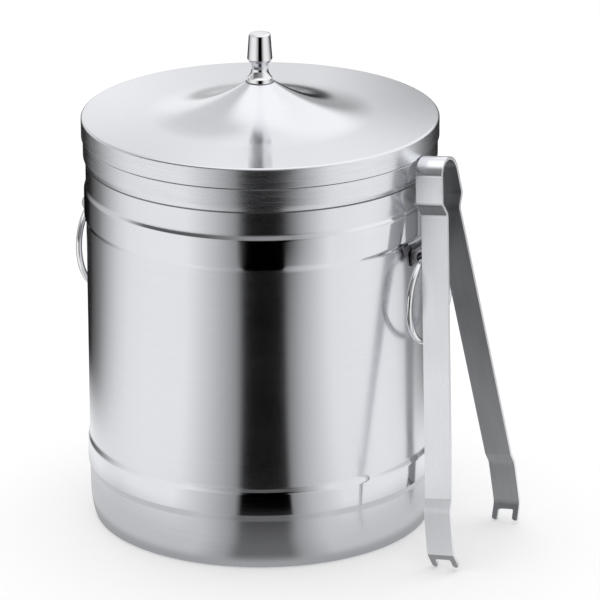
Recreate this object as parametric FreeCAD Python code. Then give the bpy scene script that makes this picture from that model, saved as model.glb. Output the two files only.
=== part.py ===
"""Double-wall ice bucket with a lift-off lid, two ring handles and a pair of ice tongs.

Millimetres, +Z up. The origin is the middle of the bucket's foot, on the table.
The handles lie on X: the right one on +X, the left one on -X.
The tongs stand on the table beside the right handle and lean on the lid.
"""
import FreeCAD, Part
import math
import os
from FreeCAD import Vector

os.makedirs("parts", exist_ok=True)

# ---------------------------------------------------------------- driving sizes
# bucket wall
SHELL_R = 63.6          # outside of the outer shell
SHELL_T = 0.6           # sheet of the outer shell
FOOT_IN = 1.6           # how far the shell curves in at its foot
FOOT_H = 11.0           # height of that curve
HEM_W = 2.2             # width of the shell's turned-in bottom edge
RIM_Z = 144.5           # top of the rim, where the lid sits
BAND_T = 0.85           # sheet of the rim band
BAND_H = 6.9            # straight outside face of the rim band
BAND_SLOPE = 2.4        # height over which the band feathers into the shell
BAND_LIP = 3.0          # depth of the band's lip inside the liner
BELT_RISE = 0.7         # how far the two pressed belts stand proud
BELT_SLOPE = 1.8        # height of a belt's sloping edge
UPPER_BELT_Z = 120.2    # middle of the upper belt
UPPER_BELT_H = 10.0     # its upright face
LOWER_BELT_Z = 25.1     # middle of the lower belt
LOWER_BELT_H = 8.8      # its upright face

# ice well and base
WALL_GAP = 4.9          # air between the two walls
LINER_T = 0.6           # sheet of the liner
WELL_DEPTH = 127.0      # rim to the well's floor
WELL_CORNER = 6.0       # inside radius between wall and floor
BASE_T = 0.6            # sheet of the base plate
BASE_Z = 4.2            # underside of the base plate above the table
BASE_FLANGE = 2.6       # depth of its turned-down edge

# lid
LID_PROUD = 0.55        # how far the lid's side stands out past the rim band
LID_T = 0.6             # sheet of the lid shell
LID_SIDE = 7.7          # height of the lid's side
LID_EDGE_R = 0.9        # rounding of its top edge
LID_HEM_R = 0.45        # rounding of its bottom edge
LID_HEM_W = 3.5         # width of the hem that turns in under the lid
CONE_R = 43.0           # radius at which the middle of the lid starts to rise
SEAT_EDGE = 0.63        # how much wider than the knob's foot the flat seat on top is
CONE_RISE = 11.9        # height of that rise
DISC_RISE = 0.3         # rise of the outer disc between its edge and the curve
PAN_T = 0.5             # sheet of the inner lid pan
PLUG_DEPTH = 7.0        # how far the pan goes down into the well
PLUG_GAP = 0.6          # clearance between pan and rim lip
PAN_CORNER = 2.0        # rounding of the pan's bottom edge

# knob and its screw
KNOB_H = 18.1
KNOB_FOOT_R = 4.65
KNOB_FOOT_H = 0.5       # upright edge of the foot
KNOB_FLARE = (3.4, 2.5)     # (radius, height) of a point on the hollow flare above it
KNOB_WAIST_R = 3.05
KNOB_WAIST_H = 5.1      # height of the waist above the lid
KNOB_NECK_R = 3.5
KNOB_NECK_H = 7.5
KNOB_STEP_H = 0.3       # height of the narrow step out to the grip
KNOB_GRIP_R = 4.57
KNOB_GRIP_H = 8.6       # height of the grip's widest place
KNOB_TOP_R = 3.9
KNOB_BEVEL = 0.5
SCREW_R = 1.95          # M4 shank
SCREW_GAP = 0.05        # clearance of the shank in the knob
SCREW_IN = 8.5          # how far the shank goes into the knob
HEAD_R = 3.4
HEAD_H = 2.4
WASHER_R = 4.1
WASHER_T = 0.8

# ring handles and their lugs
LUG_Z = 109.3           # height of the ring's axis
LUG_OUT = 4.9           # distance of that axis from the shell
BARREL_R = 3.3          # outside of the rolled barrel
BARREL_HOLE_R = 2.3
BARREL_W = 12.0         # length of the barrel
LUG_PLATE_T = 0.8       # plate welded to the shell
LUG_PLATE_H = 7.6
LUG_NECK_T = 2.4        # the two leaves between plate and barrel
RING_R = 16.5           # middle radius of the ring
RING_WIRE_R = 1.15
RING_HANG = 0.3         # ring wire's middle above the barrel's axis
LEFT_LEAN = 5.0         # degrees by which the left ring leans to the shell

# tongs: one bent strip, as half a profile (across, up) along its own leaning axis
TONGS_W = 10.4          # width of the strip
TONGS_T = 1.2           # thickness of the strip
LEAN_GAP = 0.33         # what stays between the bow and the lid's side
TONGS_LEAN = 6.85       # degrees from upright, towards the bucket
BOW_R = 6.3             # middle radius of the round top
BOW_TOP = 145.7         # height of the top's middle line
BOW_FLARE = 10.6        # degrees by which the bow widens below its round top
BOW_SIDE = 9.7          # straight side of the bow
PINCH = (4.95, 126.3)   # where the legs come nearest
SHOULDER = (25.2, 25.7)     # lower end of the straight leg
ANKLE = (27.3, 22.1)        # foot of the small joggle under it
KNEE = (28.2, 5.9)          # where the toe turns in
TOE = (24.7, 0.0)           # end of the toe
PINCH_BEND = 3.0
BOW_BEND = 3.0
SHOULDER_BEND = 1.6
ANKLE_BEND = 6.0
KNEE_BEND = 4.5
PRONG_W = 2.2           # width of each of a toe's two prongs
PRONG_L = 4.2           # depth of the notch between them
NOTCH_CORNER = 0.7      # rounding in the notch's two corners
TOE_GAP = 0.3           # what stays between the toes when squeezed

# ---------------------------------------------------------------- derived sizes
SHELL_IN_R = SHELL_R - SHELL_T
FOOT_R = SHELL_R - FOOT_IN
FOOT_ARC = (FOOT_H ** 2 + FOOT_IN ** 2) / (2 * FOOT_IN)
BAND_R = SHELL_R + BAND_T
BAND_UNDER = RIM_Z - BAND_T
LID_R = BAND_R + LID_PROUD
LINER_OUT_R = SHELL_IN_R - WALL_GAP
LINER_R = LINER_OUT_R - LINER_T
LIP_R = LINER_R - BAND_T
WELL_Z = RIM_Z - WELL_DEPTH
LID_TOP_Z = RIM_Z + LID_SIDE
KNOB_Z = LID_TOP_Z + DISC_RISE + CONE_RISE
CONE_WIDTH = CONE_R - KNOB_FOOT_R - SEAT_EDGE
CONE_ARC = (CONE_WIDTH ** 2 + CONE_RISE ** 2) / (2 * CONE_RISE)
LUG_R = SHELL_R + LUG_OUT
RING_Z = LUG_Z + RING_HANG - RING_R
LEAN = math.radians(TONGS_LEAN)
TONGS_X = (LID_R + LEAN_GAP + TONGS_W / 2 * math.cos(LEAN)
           + (BOW_TOP + TONGS_T / 2) * math.sin(LEAN))
Z_AXIS = Vector(0, 0, 1)


def arc(start, middle, end):
    return Part.Arc(Vector(*start), Vector(*middle), Vector(*end)).toShape()


def line(start, end):
    return Part.LineSegment(Vector(*start), Vector(*end)).toShape()


def outline(*steps):
    """Closed face in the XZ plane from (x, z) points; a step of two points is an arc."""
    edges = []
    here = steps[0]
    for step in steps[1:] + (steps[0],):
        if isinstance(step[0], tuple):
            middle, end = step
            edges.append(arc((here[0], 0, here[1]), (middle[0], 0, middle[1]), (end[0], 0, end[1])))
            here = end
        else:
            edges.append(line((here[0], 0, here[1]), (step[0], 0, step[1])))
            here = step
    return Part.Face(Part.Wire(edges))


def turned(*steps):
    """Solid of revolution about Z from a profile of (radius, z) points."""
    return outline(*steps).revolve(Vector(0, 0, 0), Z_AXIS, 360)


def on_circle(centre, radius, degrees):
    angle = math.radians(degrees)
    return (centre[0] + radius * math.cos(angle), centre[1] + radius * math.sin(angle))


def save(name, shape):
    shape.exportStep("parts/" + name + ".step")


# ---------------------------------------------------------------- bucket body
def foot_radius(z, offset=0.0):
    """Radius of the curved foot at height z, offset inwards by the sheet."""
    drop = FOOT_H - z
    return SHELL_R - FOOT_ARC + math.sqrt((FOOT_ARC - offset) ** 2 - drop ** 2)


def belt_steps(radius, middle, face):
    """Upright profile points of a pressed belt, from its lower edge to its upper edge."""
    return ((radius, middle - face / 2 - BELT_SLOPE),
            (radius + BELT_RISE, middle - face / 2),
            (radius + BELT_RISE, middle + face / 2),
            (radius, middle + face / 2 + BELT_SLOPE))


def outer_shell():
    outside = ((foot_radius(FOOT_H / 2), FOOT_H / 2), (SHELL_R, FOOT_H))
    inside = ((foot_radius(FOOT_H / 2, SHELL_T), FOOT_H / 2),
              (foot_radius(SHELL_T, SHELL_T), SHELL_T))
    hem_r = FOOT_R - HEM_W
    up = belt_steps(SHELL_R, LOWER_BELT_Z, LOWER_BELT_H)
    up += belt_steps(SHELL_R, UPPER_BELT_Z, UPPER_BELT_H)
    down = belt_steps(SHELL_IN_R, UPPER_BELT_Z, UPPER_BELT_H)[::-1]
    down += belt_steps(SHELL_IN_R, LOWER_BELT_Z, LOWER_BELT_H)[::-1]
    return turned((FOOT_R, 0), outside, *up, (SHELL_R, BAND_UNDER), (SHELL_IN_R, BAND_UNDER),
                  *down, (SHELL_IN_R, FOOT_H), inside, (hem_r, SHELL_T), (hem_r, 0))


def base_plate():
    """Disc inside the foot, with a turned-down edge that follows the shell."""
    low = BASE_Z - BASE_FLANGE
    top = BASE_Z + BASE_T
    middle = (low + top) / 2
    edge = ((foot_radius(middle, SHELL_T), middle), (foot_radius(top, SHELL_T), top))
    flange_r = foot_radius(low, SHELL_T) - BASE_T
    return turned((0, BASE_Z), (flange_r, BASE_Z), (flange_r, low),
                  (foot_radius(low, SHELL_T), low), edge, (0, top))


def inner_liner():
    """Deep-drawn well that hangs in the rim by its flange."""
    flange_z = BAND_UNDER - LINER_T
    corner = (LINER_R - WELL_CORNER, WELL_Z + WELL_CORNER)
    inner = on_circle(corner, WELL_CORNER, -45)
    outer = on_circle(corner, WELL_CORNER + LINER_T, -45)
    return turned((0, WELL_Z), (LINER_R - WELL_CORNER, WELL_Z),
                  (inner, (LINER_R, WELL_Z + WELL_CORNER)),
                  (LINER_R, BAND_UNDER), (SHELL_IN_R, BAND_UNDER), (SHELL_IN_R, flange_z),
                  (LINER_OUT_R, flange_z), (LINER_OUT_R, WELL_Z + WELL_CORNER),
                  (outer, (LINER_R - WELL_CORNER, WELL_Z - LINER_T)), (0, WELL_Z - LINER_T))


def rim_band():
    """Rolled channel that closes the top of both walls."""
    rounding = BAND_T / 2
    shoulder_z = RIM_Z - BAND_H
    crown = on_circle((BAND_R - rounding, RIM_Z - rounding), rounding, 45)
    lip = on_circle((LIP_R + rounding, RIM_Z - rounding), rounding, 135)
    return turned((SHELL_R, shoulder_z - BAND_SLOPE), (BAND_R, shoulder_z),
                  (BAND_R, RIM_Z - rounding), (crown, (BAND_R - rounding, RIM_Z)),
                  (LIP_R + rounding, RIM_Z), (lip, (LIP_R, RIM_Z - rounding)),
                  (LIP_R, BAND_UNDER - BAND_LIP), (LINER_R, BAND_UNDER - BAND_LIP),
                  (LINER_R, BAND_UNDER), (SHELL_R, BAND_UNDER))


# ---------------------------------------------------------------- lid
def cone_point(height, offset=0.0):
    """Point of the hollow rise, that far above its start; the offset is inwards."""
    centre_z = LID_TOP_Z + DISC_RISE + CONE_ARC
    across = math.sqrt(CONE_ARC ** 2 - (CONE_ARC - height) ** 2)
    scale = (CONE_ARC + offset) / CONE_ARC
    return (CONE_R - across * scale, centre_z - (CONE_ARC - height) * scale)


def lid_shell():
    """Lid skin with a hollow rise to the knob and a hem turned in under its edge."""
    hole = SCREW_R + 2 * SCREW_GAP
    inside_r = LID_R - LID_T
    seat_in = cone_point(CONE_RISE, LID_T)
    disc_in_z = LID_TOP_Z - LID_T
    return turned(
        (hole, KNOB_Z), cone_point(CONE_RISE),
        (cone_point(CONE_RISE / 3), (CONE_R, LID_TOP_Z + DISC_RISE)),
        (LID_R - LID_EDGE_R, LID_TOP_Z),
        (on_circle((LID_R - LID_EDGE_R, LID_TOP_Z - LID_EDGE_R), LID_EDGE_R, 45),
         (LID_R, LID_TOP_Z - LID_EDGE_R)),
        (LID_R, RIM_Z + LID_HEM_R),
        (on_circle((LID_R - LID_HEM_R, RIM_Z + LID_HEM_R), LID_HEM_R, -45),
         (LID_R - LID_HEM_R, RIM_Z)),
        (LID_R - LID_HEM_W, RIM_Z), (LID_R - LID_HEM_W, RIM_Z + LID_T),
        (inside_r, RIM_Z + LID_T), (inside_r, disc_in_z),
        (CONE_R, disc_in_z + DISC_RISE),
        (cone_point(CONE_RISE / 3, LID_T), seat_in),
        (seat_in[0], KNOB_Z - LID_T), (hole, KNOB_Z - LID_T))


def lid_pan():
    """Inner pan: its flange lies in the lid's hem and its plug goes down into the well."""
    plug_r = LIP_R - PLUG_GAP
    flange_z = RIM_Z + LID_T
    floor_z = RIM_Z - PLUG_DEPTH
    corner = (plug_r - PAN_CORNER, floor_z + PAN_CORNER)
    inner_r = PAN_CORNER - PAN_T
    return turned((0, floor_z), (plug_r - PAN_CORNER, floor_z),
                  (on_circle(corner, PAN_CORNER, -45), (plug_r, floor_z + PAN_CORNER)),
                  (plug_r, flange_z), (LID_R - LID_T, flange_z),
                  (LID_R - LID_T, flange_z + PAN_T), (plug_r - PAN_T, flange_z + PAN_T),
                  (plug_r - PAN_T, floor_z + PAN_CORNER),
                  (on_circle(corner, inner_r, -45), (plug_r - PAN_CORNER, floor_z + PAN_T)),
                  (0, floor_z + PAN_T))


def lid_knob():
    """Turned knob: flared foot, waist, short neck and a grip that narrows upwards."""
    hole = SCREW_R + SCREW_GAP
    hole_z = KNOB_Z + SCREW_IN + SCREW_GAP
    neck_z = KNOB_Z + KNOB_NECK_H
    top_z = KNOB_Z + KNOB_H
    flare = (KNOB_FLARE[0], KNOB_Z + KNOB_FLARE[1])
    return turned((hole, KNOB_Z), (KNOB_FOOT_R, KNOB_Z), (KNOB_FOOT_R, KNOB_Z + KNOB_FOOT_H),
                  (flare, (KNOB_WAIST_R, KNOB_Z + KNOB_WAIST_H)), (KNOB_NECK_R, neck_z),
                  (KNOB_GRIP_R - KNOB_BEVEL, neck_z + KNOB_STEP_H),
                  (KNOB_GRIP_R, KNOB_Z + KNOB_GRIP_H), (KNOB_TOP_R, top_z - KNOB_BEVEL),
                  (KNOB_TOP_R - KNOB_BEVEL, top_z), (0, top_z), (0, hole_z), (hole, hole_z))


def knob_washer():
    top = KNOB_Z - LID_T
    hole = SCREW_R + 2 * SCREW_GAP
    return turned((hole, top), (WASHER_R, top), (WASHER_R, top - WASHER_T), (hole, top - WASHER_T))


def knob_screw():
    """Pan-head screw that holds the knob from inside the lid."""
    seat = KNOB_Z - LID_T - WASHER_T
    rounding = HEAD_H / 3
    dome = on_circle((HEAD_R - rounding, seat - HEAD_H + rounding), rounding, -45)
    slot = Part.makeBox(2 * HEAD_R, HEAD_H / 3, HEAD_H / 2,
                        Vector(-HEAD_R, -HEAD_H / 6, seat - HEAD_H))
    screw = turned((0, KNOB_Z + SCREW_IN), (SCREW_R, KNOB_Z + SCREW_IN), (SCREW_R, seat),
                   (HEAD_R, seat), (HEAD_R, seat - HEAD_H + rounding),
                   (dome, (HEAD_R - rounding, seat - HEAD_H)), (0, seat - HEAD_H))
    return screw.cut(slot)


# ---------------------------------------------------------------- handles
def lug(side):
    """Strip rolled round the ring's wire, its two ends brought together and welded flat."""
    half = BARREL_W / 2
    start = Vector(LUG_R, -half, LUG_Z)
    barrel = Part.makeCylinder(BARREL_R, BARREL_W, start, Vector(0, 1, 0))
    neck = Part.makeBox(LUG_OUT, BARREL_W, LUG_NECK_T,
                        Vector(SHELL_R, -half, LUG_Z - LUG_NECK_T / 2))
    plate = Part.makeBox(2 * LUG_PLATE_T, BARREL_W, LUG_PLATE_H,
                         Vector(SHELL_R - LUG_PLATE_T, -half, LUG_Z - LUG_PLATE_H / 2))
    wall = Part.makeCylinder(SHELL_R, RIM_Z)
    hole = Part.makeCylinder(BARREL_HOLE_R, BARREL_W, start, Vector(0, 1, 0))
    shape = barrel.fuse([neck, plate]).cut([wall, hole]).removeSplitter()
    return side_of(shape, side)


def side_of(shape, side):
    """The shape as made on +X, or turned half round to -X."""
    if side < 0:
        shape.rotate(Vector(0, 0, 0), Z_AXIS, 180)
    return shape


def ring(side, lean):
    shape = Part.makeTorus(RING_R, RING_WIRE_R, Vector(LUG_R, 0, RING_Z), Vector(1, 0, 0))
    shape.rotate(Vector(LUG_R, 0, LUG_Z), Vector(0, 1, 0), lean)
    return side_of(shape, side)


# ---------------------------------------------------------------- tongs
def rounded_path(points, bends):
    """Straight runs joined by tangent arcs, each as (start, end) or (start, middle, end)."""
    pieces = []
    here = Vector(*points[0], 0)
    for index, bend in enumerate(bends, start=1):
        corner = Vector(*points[index], 0)
        back = (Vector(*points[index - 1], 0) - corner).normalize()
        ahead = (Vector(*points[index + 1], 0) - corner).normalize()
        half = back.getAngle(ahead) / 2
        reach = bend / math.tan(half)
        start = corner + back * reach
        end = corner + ahead * reach
        centre = corner + (back + ahead).normalize() * (bend / math.sin(half))
        middle = centre + (corner - centre).normalize() * bend
        pieces.append((here, start))
        pieces.append((start, middle, end, centre))
        here = end
    pieces.append((here, Vector(*points[-1], 0)))
    return pieces


def side_edges(pieces, offset):
    """The path's edges moved sideways by the offset, to the left of its direction."""
    edges = []
    for piece in pieces:
        if len(piece) == 2:
            start, end = piece
            along = (end - start).normalize()
            shift = Vector(-along.y, along.x, 0) * offset
            edges.append(Part.LineSegment(start + shift, end + shift).toShape())
        else:
            start, middle, end, centre = piece
            chord = (end - start)
            left = Vector(-chord.y, chord.x, 0)
            sign = 1 if left.dot(middle - centre) > 0 else -1
            radius = (start - centre).Length
            scale = (radius + sign * offset) / radius
            edges.append(Part.Arc(*(centre + (p - centre) * scale
                                    for p in (start, middle, end))).toShape())
    return edges


def strip(pieces):
    """Flat strip bent along the path, its width centred on the XY plane."""
    left = side_edges(pieces, TONGS_T / 2)
    right = side_edges(pieces, -TONGS_T / 2)
    first = Part.LineSegment(right[0].firstVertex().Point, left[0].firstVertex().Point)
    last = Part.LineSegment(left[-1].lastVertex().Point, right[-1].lastVertex().Point)
    edges = Part.sortEdges(left + right + [first.toShape(), last.toShape()])[0]
    face = Part.Face(Part.Wire(edges))
    face.translate(Vector(0, 0, -TONGS_W / 2))
    return face.extrude(Vector(0, 0, TONGS_W))


def bow_end():
    """Middle point of the joint between the round top and the back leg."""
    return on_circle((0, BOW_TOP - BOW_R), BOW_R, BOW_FLARE)


def toe_frame():
    """End of the toe, its direction outwards and the direction across its thickness."""
    end = Vector(*TOE, 0)
    along = (end - Vector(*KNEE, 0)).normalize()
    return end, along, Vector(-along.y, along.x, 0)


def prong_cutter():
    """What is cut from a toe: the notch between its prongs and their outer corners."""
    end, along, across = toe_frame()
    half_notch = TONGS_W / 2 - PRONG_W
    depth = 4 * TONGS_T
    tip_r = PRONG_W / 2
    low = end - across * (depth / 2)
    width = Vector(0, 0, 1)
    root = low - along * PRONG_L
    corners = root + along * NOTCH_CORNER
    cutters = [box_at(corners, along * (2 * PRONG_L), width, half_notch, across * depth),
               box_at(root, along * (2 * PRONG_L), width, half_notch - NOTCH_CORNER,
                      across * depth)]
    for side in (-1, 1):
        corner = corners + width * (side * (half_notch - NOTCH_CORNER))
        cutters.append(Part.makeCylinder(NOTCH_CORNER, depth, corner, across))
        middle = width * (side * (TONGS_W / 2 - tip_r))
        block = box_at(low - along * tip_r + middle, along * (2 * tip_r), width, tip_r,
                       across * depth)
        round_end = Part.makeCylinder(tip_r, depth, low - along * tip_r + middle, across)
        cutters.append(block.cut(round_end))
    return cutters


def box_at(start, length, width, half_width, depth):
    """Box from its start along length and depth, half_width to each side of them."""
    side = width * half_width
    corners = [start - side, start + side, start + side + length, start - side + length]
    return Part.Face(Part.makePolygon(corners + [corners[0]])).extrude(depth)


def tongs_leg(side):
    """One leg with its half of the bow: toe, joggle, straight leg, pinch and bow side."""
    end = bow_end()
    flare = math.radians(BOW_FLARE)
    bow_corner = (end[0] + BOW_SIDE * math.sin(flare), end[1] - BOW_SIDE * math.cos(flare))
    pieces = rounded_path([TOE, KNEE, ANKLE, SHOULDER, PINCH, bow_corner, end],
                          [KNEE_BEND, ANKLE_BEND, SHOULDER_BEND, PINCH_BEND, BOW_BEND])
    shape = strip(pieces).cut(prong_cutter())
    if side < 0:
        shape = shape.mirror(Vector(0, 0, 0), Vector(1, 0, 0))
    return shape


def tongs_bow():
    """Round top of the tongs, between the two legs."""
    centre = (0, BOW_TOP - BOW_R)
    start = Vector(*on_circle(centre, BOW_R, BOW_FLARE), 0)
    end = Vector(*on_circle(centre, BOW_R, 180 - BOW_FLARE), 0)
    return strip([(start, Vector(0, BOW_TOP, 0), end, Vector(*centre, 0))])


def stand_tongs(shape, lift):
    """From the flat drawing (across, up, width) to the leaning place beside the handle."""
    shape.rotate(Vector(0, 0, 0), Vector(1, 0, 0), 90)
    shape.rotate(Vector(0, 0, 0), Z_AXIS, 90)
    shape.rotate(Vector(0, 0, 0), Vector(0, 1, 0), -TONGS_LEAN)
    shape.translate(Vector(TONGS_X, 0, lift))
    return shape


def stand_point(point, lift):
    marker = stand_tongs(Part.Vertex(point[0], point[1], 0), lift)
    return marker.Point


def squeeze_angle():
    """Degrees that each leg turns about its end of the bow until the toes meet."""
    centre = (0, BOW_TOP - BOW_R)
    pivot = on_circle(centre, BOW_R - TONGS_T / 2, BOW_FLARE)
    end, along, across = toe_frame()
    inner = min((end + across * (s * TONGS_T / 2) for s in (-1, 1)), key=lambda p: p.x)
    reach = math.hypot(inner.x - pivot[0], pivot[1] - inner.y)
    open_angle = math.atan2(inner.x - pivot[0], pivot[1] - inner.y)
    shut_angle = math.asin((TOE_GAP / 2 - pivot[0]) / reach)
    return math.degrees(open_angle - shut_angle), pivot


# ---------------------------------------------------------------- build
save("outer_shell", outer_shell())
save("base_plate", base_plate())
save("inner_liner", inner_liner())
save("rim_band", rim_band())
save("lid_shell", lid_shell())
save("lid_pan", lid_pan())
save("lid_knob", lid_knob())
save("knob_washer", knob_washer())
save("knob_screw", knob_screw())
save("lug_right", lug(1))
save("lug_left", lug(-1))
save("ring_right", ring(1, 0))
save("ring_left", ring(-1, LEFT_LEAN))

lowest = stand_tongs(tongs_leg(1), 0).BoundBox.ZMin
save("tongs_leg_back", stand_tongs(tongs_leg(1), -lowest))
save("tongs_leg_front", stand_tongs(tongs_leg(-1), -lowest))
save("tongs_bow", stand_tongs(tongs_bow(), -lowest))

angle, pivot = squeeze_angle()
back = stand_point(pivot, -lowest)
print("ring axis: x %.2f z %.2f; ring middle z %.2f" % (LUG_R, LUG_Z, RING_Z))
print("tongs squeeze %.3f degrees a leg about x %.3f y %.3f z %.3f" % (angle, *back))
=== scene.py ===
# %% [markdown]
# # A brushed steel ice bucket with its tongs
#
# This lesson dresses a double-wall ice bucket: a drum with two pressed belts, a rolled rim,
# a lid with a turned knob, two ring handles and a pair of bent-strip tongs.
# The construction model is loaded first and stays fixed. It tells us where everything is,
# and each piece that we model takes the place of one of its solids.

# %% Load the fixed frame
import math
import bmesh
import bpy
from mathutils import Matrix, Vector


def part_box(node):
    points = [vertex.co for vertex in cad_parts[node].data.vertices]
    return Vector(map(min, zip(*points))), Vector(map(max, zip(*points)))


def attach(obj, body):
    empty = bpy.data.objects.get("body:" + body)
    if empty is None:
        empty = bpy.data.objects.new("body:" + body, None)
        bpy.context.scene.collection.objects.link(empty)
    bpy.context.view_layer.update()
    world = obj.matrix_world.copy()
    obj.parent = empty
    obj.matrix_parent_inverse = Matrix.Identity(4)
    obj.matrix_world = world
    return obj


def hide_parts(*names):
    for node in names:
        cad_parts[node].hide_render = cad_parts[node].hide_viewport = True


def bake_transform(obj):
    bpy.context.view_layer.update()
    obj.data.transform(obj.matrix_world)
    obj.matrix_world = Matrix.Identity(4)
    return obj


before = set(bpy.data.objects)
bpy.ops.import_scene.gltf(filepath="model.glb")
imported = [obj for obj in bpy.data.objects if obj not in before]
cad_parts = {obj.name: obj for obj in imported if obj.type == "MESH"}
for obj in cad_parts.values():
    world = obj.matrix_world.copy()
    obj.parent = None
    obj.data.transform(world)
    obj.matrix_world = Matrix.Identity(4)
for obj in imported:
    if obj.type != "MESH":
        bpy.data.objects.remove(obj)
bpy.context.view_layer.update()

MM = 0.001

# %% [markdown]
# ## Working as at a bench
#
# Nearly every piece of this bucket is round, and was spun or turned in a lathe.
# A lathe shape can be made with the Screw modifier or the Spin tool, but the plainest way is
# to start with one circle and to extrude and scale it, ring after ring, up the profile.
# Every ring is then a clean edge loop that can be picked later and bevelled.

# %% A clean start, and a piece made ring by ring
ROUND = 240             # sides of the large turned pieces


def fresh():
    bpy.ops.object.select_all(action="DESELECT")


def tidy_faces():
    """Merges what lies together, turns the faces outwards and leaves edit mode."""
    bpy.ops.mesh.select_all(action="SELECT")
    bpy.ops.mesh.remove_doubles(threshold=0.005 * MM)
    bpy.ops.mesh.normals_make_consistent(inside=False)
    bpy.ops.object.mode_set(mode="OBJECT")


def turned(name, rings, filled=False, sides=ROUND):
    """A turned piece from (radius, height) rings in millimetres; filled starts it with a disc."""
    fresh()
    radius, height = rings[0]
    bpy.ops.mesh.primitive_circle_add(vertices=sides, radius=radius * MM,
                                      fill_type="NGON" if filled else "NOTHING",
                                      location=(0, 0, height * MM))
    piece = bpy.context.object
    piece.name = name
    bpy.ops.object.transform_apply(location=True)
    bpy.ops.object.mode_set(mode="EDIT")
    bpy.ops.mesh.select_all(action="SELECT")
    for next_radius, next_height in rings[1:]:
        rise = (0, 0, (next_height - height) * MM)
        bpy.ops.mesh.extrude_region_move(TRANSFORM_OT_translate={"value": rise})
        ratio = next_radius / radius
        bpy.ops.transform.resize(value=(ratio, ratio, 1), center_override=(0, 0, next_height * MM))
        radius, height = next_radius, next_height
    tidy_faces()
    return piece


def arc(centre, radius, start, end, steps):
    """Points of an arc in a profile, angles in degrees from the outward direction."""
    turns = [math.radians(start + (end - start) * i / steps) for i in range(steps + 1)]
    return [(centre[0] + radius * math.cos(t), centre[1] + radius * math.sin(t)) for t in turns]


# %% Picking rings, softening them, and the last touch on every piece
NEAR = 0.02             # how close to a named ring an edge has to lie, in mm


def pick_rings(piece, rings):
    """In edit mode, selects the edges that lie on these (radius, height) rings."""
    bpy.ops.mesh.select_mode(type="EDGE")
    bpy.ops.mesh.select_all(action="DESELECT")
    mesh = bmesh.from_edit_mesh(piece.data)

    def on_ring(point, ring):
        across = math.hypot(point.co.x, point.co.y) / MM
        return abs(across - ring[0]) < NEAR and abs(point.co.z / MM - ring[1]) < NEAR

    for edge in mesh.edges:
        edge.select_set(any(all(on_ring(p, ring) for p in edge.verts) for ring in rings))
    bmesh.update_edit_mesh(piece.data)
    return sum(edge.select for edge in mesh.edges)


def soften(piece, rings, width, cuts=3):
    bpy.context.view_layer.objects.active = piece
    bpy.ops.object.mode_set(mode="EDIT")
    found = pick_rings(piece, rings)
    bpy.ops.mesh.bevel(offset=width * MM, segments=cuts, profile=0.5, affect="EDGES")
    bpy.ops.object.mode_set(mode="OBJECT")
    print(piece.name, "softened", found, "edges on", len(rings), "rings")


def polish_off(piece, angle=32):
    """Smooth shading up to that angle; large faces keep their own direction at a bevel."""
    fresh()
    piece.select_set(True)
    bpy.context.view_layer.objects.active = piece
    bpy.ops.object.shade_smooth_by_angle(angle=math.radians(angle))
    bpy.ops.object.modifier_add(type="WEIGHTED_NORMAL")
    piece.modifiers[-1].keep_sharp = True
    bpy.ops.object.modifier_apply(modifier=piece.modifiers[-1].name)
    low = [round(min(v.co[i] for v in piece.data.vertices) / MM, 2) for i in range(3)]
    high = [round(max(v.co[i] for v in piece.data.vertices) / MM, 2) for i in range(3)]
    print(piece.name, len(piece.data.polygons), "faces,", low, "to", high, "mm")
    return piece


# %% [markdown]
# ## The drum
#
# The outer wall is one sheet, 0.6 mm thick, rolled and welded. Two belts are pressed outwards
# in it, and its foot is curved in and hemmed, which makes the edge stiff and safe to touch.
# A plain cylinder would lose all of that. The rings below follow the sheet once round:
# up its outside, over the top, down its inside and along the hem.

# %% The sheet of the drum
SHEET = 0.6
DRUM_R = 63.6           # outside of the drum
FOOT_R = 62.0           # outside of its foot
FOOT_H = 11.0           # height of the foot's curve
HEM_W = 2.2             # the sheet turned in under the foot
BAND_UNDER = 143.65     # where the rim band closes the sheet
BELT_RISE = 0.7
BELT_SLOPE = 1.8
BELTS = ((25.1, 8.8), (120.2, 10.0))    # middle and upright face of each pressed belt
foot_bow = (FOOT_H ** 2 + (DRUM_R - FOOT_R) ** 2) / (2 * (DRUM_R - FOOT_R))
foot_turn = math.degrees(math.asin(FOOT_H / foot_bow))


def belt(radius, middle, face):
    return [(radius, middle - face / 2 - BELT_SLOPE), (radius + BELT_RISE, middle - face / 2),
            (radius + BELT_RISE, middle + face / 2), (radius, middle + face / 2 + BELT_SLOPE)]


def drum_side(radius):
    return [ring for middle, face in BELTS for ring in belt(radius, middle, face)]


foot_centre = (DRUM_R - foot_bow, FOOT_H)
inner_turn = math.degrees(math.asin((FOOT_H - SHEET) / (foot_bow - SHEET)))
outside = arc(foot_centre, foot_bow, -foot_turn, 0, 8) + drum_side(DRUM_R)
inside = drum_side(DRUM_R - SHEET)[::-1]
inside += arc(foot_centre, foot_bow - SHEET, 0, -inner_turn, 8)
hem = [(FOOT_R - HEM_W, SHEET), (FOOT_R - HEM_W, 0), (FOOT_R, 0)]
drum = turned("drum", outside + [(DRUM_R, BAND_UNDER), (DRUM_R - SHEET, BAND_UNDER)] + inside + hem)

# %% Press the belts' edges round
soften(drum, drum_side(DRUM_R), 0.5, cuts=4)
soften(drum, [(FOOT_R, 0)], 0.3)
polish_off(drum)

# %% [markdown]
# ## The rim
#
# A rolled channel closes the top of both walls. Its outer side stands a sheet's thickness
# proud of the drum and is feathered into it, and its lip goes down into the well.
# It is a piece of its own, because it is brushed more coarsely than the drum.

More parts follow.
